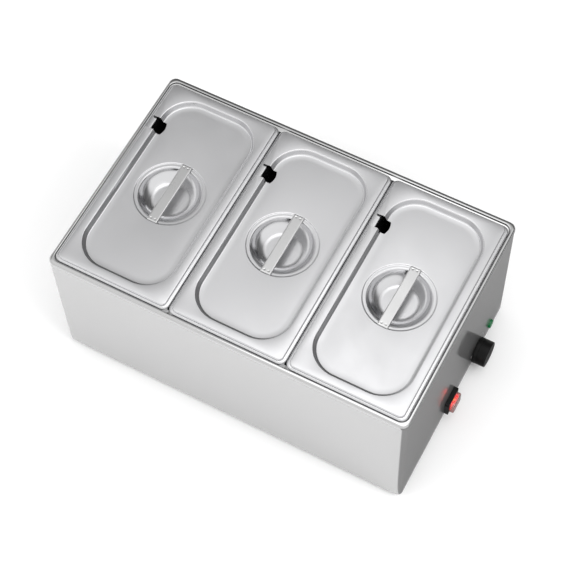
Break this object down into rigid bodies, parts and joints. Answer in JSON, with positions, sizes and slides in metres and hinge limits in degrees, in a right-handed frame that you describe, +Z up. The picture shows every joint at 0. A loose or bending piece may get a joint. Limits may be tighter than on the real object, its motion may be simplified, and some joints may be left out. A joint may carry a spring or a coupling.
{
  "type": "countertop steam table",
  "caption": "Countertop electric steam table: stainless water tank in a box housing, one-third pans with lids, thermostat knob, lit rocker switch and lamp on the right end.",
  "frame": {"origin": "on the floor under the middle of the whole object's bounding box", "axes": "+X to the control end, along the long side; +Y to the rear, where the cable gland is; +Z up"},
  "size_m": [0.5638, 0.3626, 0.25],
  "materials": {
    "stainless_sheet": "satin, finely grained stainless sheet",
    "stainless_pan": "satin drawn stainless",
    "stainless_lid": "satin drawn stainless with a polished cup",
    "plated_steel": "zinc plated",
    "black_plastic": "moulded, slightly satin",
    "red_lit_plastic": "clear red moulding, lit from inside",
    "clear_cover": "clear soft splash cover",
    "green_lens": "clear green moulding",
    "ceramic": "unglazed white ceramic",
    "copper_tube": "bare copper",
    "element_sheath": "oxidised dark sheath",
    "brass": "bare brass",
    "rubber": "moulded rubber",
    "brown_insulation": "silicone insulation",
    "blue_insulation": "silicone insulation",
    "earth_insulation": "silicone insulation"
  },
  "bodies": {
    "unit": {"outer_housing": "stainless_sheet", "tank": "stainless_sheet", "base_plate": "stainless_sheet", "switch_housing": "black_plastic", "switch_cover": "clear_cover", "thermostat_body": "ceramic", "thermostat_screws": "plated_steel", "thermostat_bulb": "copper_tube", "capillary_tube": "copper_tube", "lamp_lens": "green_lens", "lamp_body": "black_plastic", "base_plate_screws": "plated_steel", "foot_screws": "plated_steel", "foot_nuts": "plated_steel", "heating_element": "element_sheath", "element_beads": "ceramic", "element_clamps": "plated_steel", "weld_studs": "plated_steel", "stud_nuts": "plated_steel", "bulb_clip": "plated_steel", "overheat_limiter": "plated_steel", "cable_gland": "black_plastic", "gland_cap": "black_plastic", "gland_nut": "black_plastic", "earth_screw": "plated_steel", "earth_nut": "plated_steel", "terminal_block": "ceramic", "terminal_block_screws": "plated_steel", "spade_tabs": "brass", "wires_brown": "brown_insulation", "wires_blue": "blue_insulation", "wire_earth": "earth_insulation", "foot_front_left": "rubber", "foot_front_right": "rubber", "foot_rear_left": "rubber", "foot_rear_right": "rubber"},
    "pan_left": {"pan_left": "stainless_pan"},
    "lid_left": {"lid_left": "stainless_lid", "lid_handle_left": "stainless_lid"},
    "pan_middle": {"pan_middle": "stainless_pan"},
    "lid_middle": {"lid_middle": "stainless_lid", "lid_handle_middle": "stainless_lid"},
    "pan_right": {"pan_right": "stainless_pan"},
    "lid_right": {"lid_right": "stainless_lid", "lid_handle_right": "stainless_lid"},
    "knob": {"thermostat_knob": "black_plastic", "thermostat_spindle": "plated_steel"},
    "rocker": {"switch_rocker": "red_lit_plastic"}
  },
  "joints": [
    {"name": "pan_left_lift", "type": "slide", "parent": "unit", "child": "pan_left", "axis": [0, 0, 1], "range_m": [0, 0.17]},
    {"name": "lid_left_lift", "type": "slide", "parent": "pan_left", "child": "lid_left", "axis": [0, 0, 1], "range_m": [0, 0.06]},
    {"name": "pan_middle_lift", "type": "slide", "parent": "unit", "child": "pan_middle", "axis": [0, 0, 1], "range_m": [0, 0.17]},
    {"name": "lid_middle_lift", "type": "slide", "parent": "pan_middle", "child": "lid_middle", "axis": [0, 0, 1], "range_m": [0, 0.06]},
    {"name": "pan_right_lift", "type": "slide", "parent": "unit", "child": "pan_right", "axis": [0, 0, 1], "range_m": [0, 0.17]},
    {"name": "lid_right_lift", "type": "slide", "parent": "pan_right", "child": "lid_right", "axis": [0, 0, 1], "range_m": [0, 0.06]},
    {"name": "knob_turn", "type": "hinge", "parent": "unit", "child": "knob", "pos_m": [0.26032, 0.06595, 0.035], "axis": [-1, 0, 0], "range_deg": [0, 270]},
    {"name": "rocker_tilt", "type": "hinge", "parent": "unit", "child": "rocker", "pos_m": [0.26482, -0.02455, 0.035], "axis": [0, 0, 1], "range_deg": [0, 20]}
  ]
}
